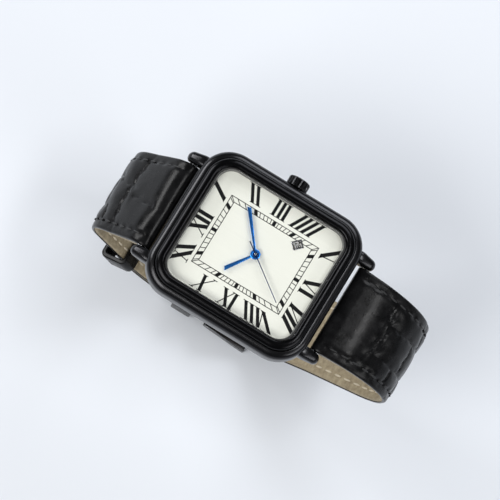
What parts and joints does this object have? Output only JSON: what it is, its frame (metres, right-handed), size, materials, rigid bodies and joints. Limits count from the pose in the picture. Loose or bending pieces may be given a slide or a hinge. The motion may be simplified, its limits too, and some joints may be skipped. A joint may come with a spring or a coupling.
{
  "type": "square wrist watch",
  "caption": "Square wrist watch with rounded black case, Roman dial, date window, quartz movement and a buckled black embossed leather strap.",
  "frame": {"origin": "outer face of the case back, on the axis of the hands", "axes": "+Z out of the dial, +Y to twelve o'clock, +X to three o'clock and the crown"},
  "size_m": [0.0389, 0.0785, 0.0575],
  "materials": {
    "black_case": "black plated, semi-gloss",
    "glass": "flat mineral glass",
    "dial_silver": "satin silver-white",
    "flange": "satin",
    "blue_steel": "gloss blue",
    "steel": "satin",
    "brass": "satin",
    "copper": "enamelled wire",
    "magnet": "ground",
    "board": "lacquered",
    "holder_plastic": "moulded",
    "date_plastic": "printed",
    "rubber": "matte",
    "leather_black": "glossy, embossed",
    "leather_lining": "matte"
  },
  "bodies": {
    "watch_case": {"case_middle": "black_case", "bezel": "black_case", "crystal": "glass", "crystal_gasket": "rubber", "case_back_gasket": "rubber", "flange_ring": "flange", "dial": "dial_silver", "case_back": "steel", "case_back_screws": "steel", "crown_tube": "steel", "movement_holder": "holder_plastic", "main_plate": "brass", "train_bridge": "steel", "bridge_screws": "steel", "stator": "steel", "coil_core": "steel", "coil": "copper", "battery": "steel", "battery_clamp": "steel", "circuit_board": "board", "quartz_can": "steel", "strap_short_leather": "leather_black", "strap_short_lining": "leather_lining", "strap_long_leather": "leather_black", "strap_long_lining": "leather_lining", "spring_bar_12": "steel", "spring_bar_6": "steel", "keeper_fixed": "leather_black"},
    "crown_slide": {"crown_gasket": "rubber"},
    "crown_knob": {"crown": "black_case", "stem": "steel"},
    "setting_lever": {"setting_lever": "steel"},
    "seconds": {"second_wheel": "steel", "second_hand": "blue_steel"},
    "minutes": {"centre_wheel": "brass", "minute_hand": "blue_steel"},
    "hours": {"hour_wheel": "brass", "hour_hand": "blue_steel"},
    "minute_wheel": {"minute_wheel": "brass"},
    "third_wheel": {"third_wheel": "brass"},
    "intermediate_wheel": {"intermediate_wheel": "brass"},
    "rotor": {"rotor": "magnet"},
    "date_driver": {"date_driving_wheel": "brass"},
    "date_disc": {"date_disc": "date_plastic"},
    "buckle": {"buckle_frame": "black_case", "buckle_pin": "steel"},
    "tongue": {"buckle_tongue": "black_case"},
    "loose_keeper": {"keeper_loose": "leather_black"}
  },
  "joints": [
    {"name": "crown_pull", "type": "slide", "parent": "watch_case", "child": "crown_slide", "axis": [1, 0, 0], "range_m": [0, 0.001]},
    {"name": "crown_turn", "type": "hinge", "parent": "crown_slide", "child": "crown_knob", "pos_m": [0.0195, 0, 0.00395], "axis": [1, 0, 0], "continuous": true},
    {"name": "setting_lever_swing", "type": "hinge", "parent": "watch_case", "child": "setting_lever", "pos_m": [0.0084, -0.0032, 0.003], "axis": [0, 0, -1], "range_deg": [0, 18.5]},
    {"name": "seconds_turn", "type": "hinge", "parent": "watch_case", "child": "seconds", "pos_m": [0, 0, 0.004], "axis": [0, 0, -1], "continuous": true},
    {"name": "minutes_turn", "type": "hinge", "parent": "watch_case", "child": "minutes", "pos_m": [0, 0, 0.004], "axis": [0, 0, -1], "continuous": true},
    {"name": "hours_turn", "type": "hinge", "parent": "watch_case", "child": "hours", "pos_m": [0, 0, 0.005], "axis": [0, 0, -1], "continuous": true},
    {"name": "minute_wheel_turn", "type": "hinge", "parent": "watch_case", "child": "minute_wheel", "pos_m": [0.0017, -0.00143, 0.0049], "axis": [0, 0, -1], "continuous": true},
    {"name": "third_wheel_turn", "type": "hinge", "parent": "watch_case", "child": "third_wheel", "pos_m": [0, -0.00333, 0.0025], "axis": [0, 0, -1], "continuous": true},
    {"name": "intermediate_wheel_turn", "type": "hinge", "parent": "watch_case", "child": "intermediate_wheel", "pos_m": [0, 0.00338, 0.0025], "axis": [0, 0, -1], "continuous": true},
    {"name": "rotor_turn", "type": "hinge", "parent": "watch_case", "child": "rotor", "pos_m": [0, 0.00556, 0.0025], "axis": [0, 0, -1], "continuous": true},
    {"name": "date_driver_turn", "type": "hinge", "parent": "watch_case", "child": "date_driver", "pos_m": [-0.00375, 0.00375, 0.005], "axis": [0, 0, -1], "continuous": true},
    {"name": "date_disc_turn", "type": "hinge", "parent": "watch_case", "child": "date_disc", "pos_m": [0, 0, 0.0052], "axis": [0, 0, -1], "continuous": true},
    {"name": "buckle_turn", "type": "hinge", "parent": "watch_case", "child": "buckle", "pos_m": [0, 0.0006, -0.044], "axis": [1, 0, 0], "range_deg": [0, 4.5]},
    {"name": "tongue_lift", "type": "hinge", "parent": "buckle", "child": "tongue", "pos_m": [0, 0.0006, -0.044], "axis": [1, 0, 0], "range_deg": [0, 4]},
    {"name": "loose_keeper_slide", "type": "slide", "parent": "watch_case", "child": "loose_keeper", "axis": [0, 0.5299, 0.848], "range_m": [-0.001, 0.002]}
  ],
  "couplings": [
    {"joint": "setting_lever_swing", "follows": "crown_pull", "rad_per_m": 312.5},
    {"joint": "minutes_turn", "follows": "seconds_turn", "ratio": 0.016667},
    {"joint": "hours_turn", "follows": "seconds_turn", "ratio": 0.0013889},
    {"joint": "third_wheel_turn", "follows": "seconds_turn", "ratio": -0.13333},
    {"joint": "minute_wheel_turn", "follows": "seconds_turn", "ratio": -0.0055556},
    {"joint": "intermediate_wheel_turn", "follows": "seconds_turn", "ratio": -6},
    {"joint": "rotor_turn", "follows": "seconds_turn", "ratio": 30},
    {"joint": "date_driver_turn", "follows": "seconds_turn", "ratio": -0.00069444}
  ]
}
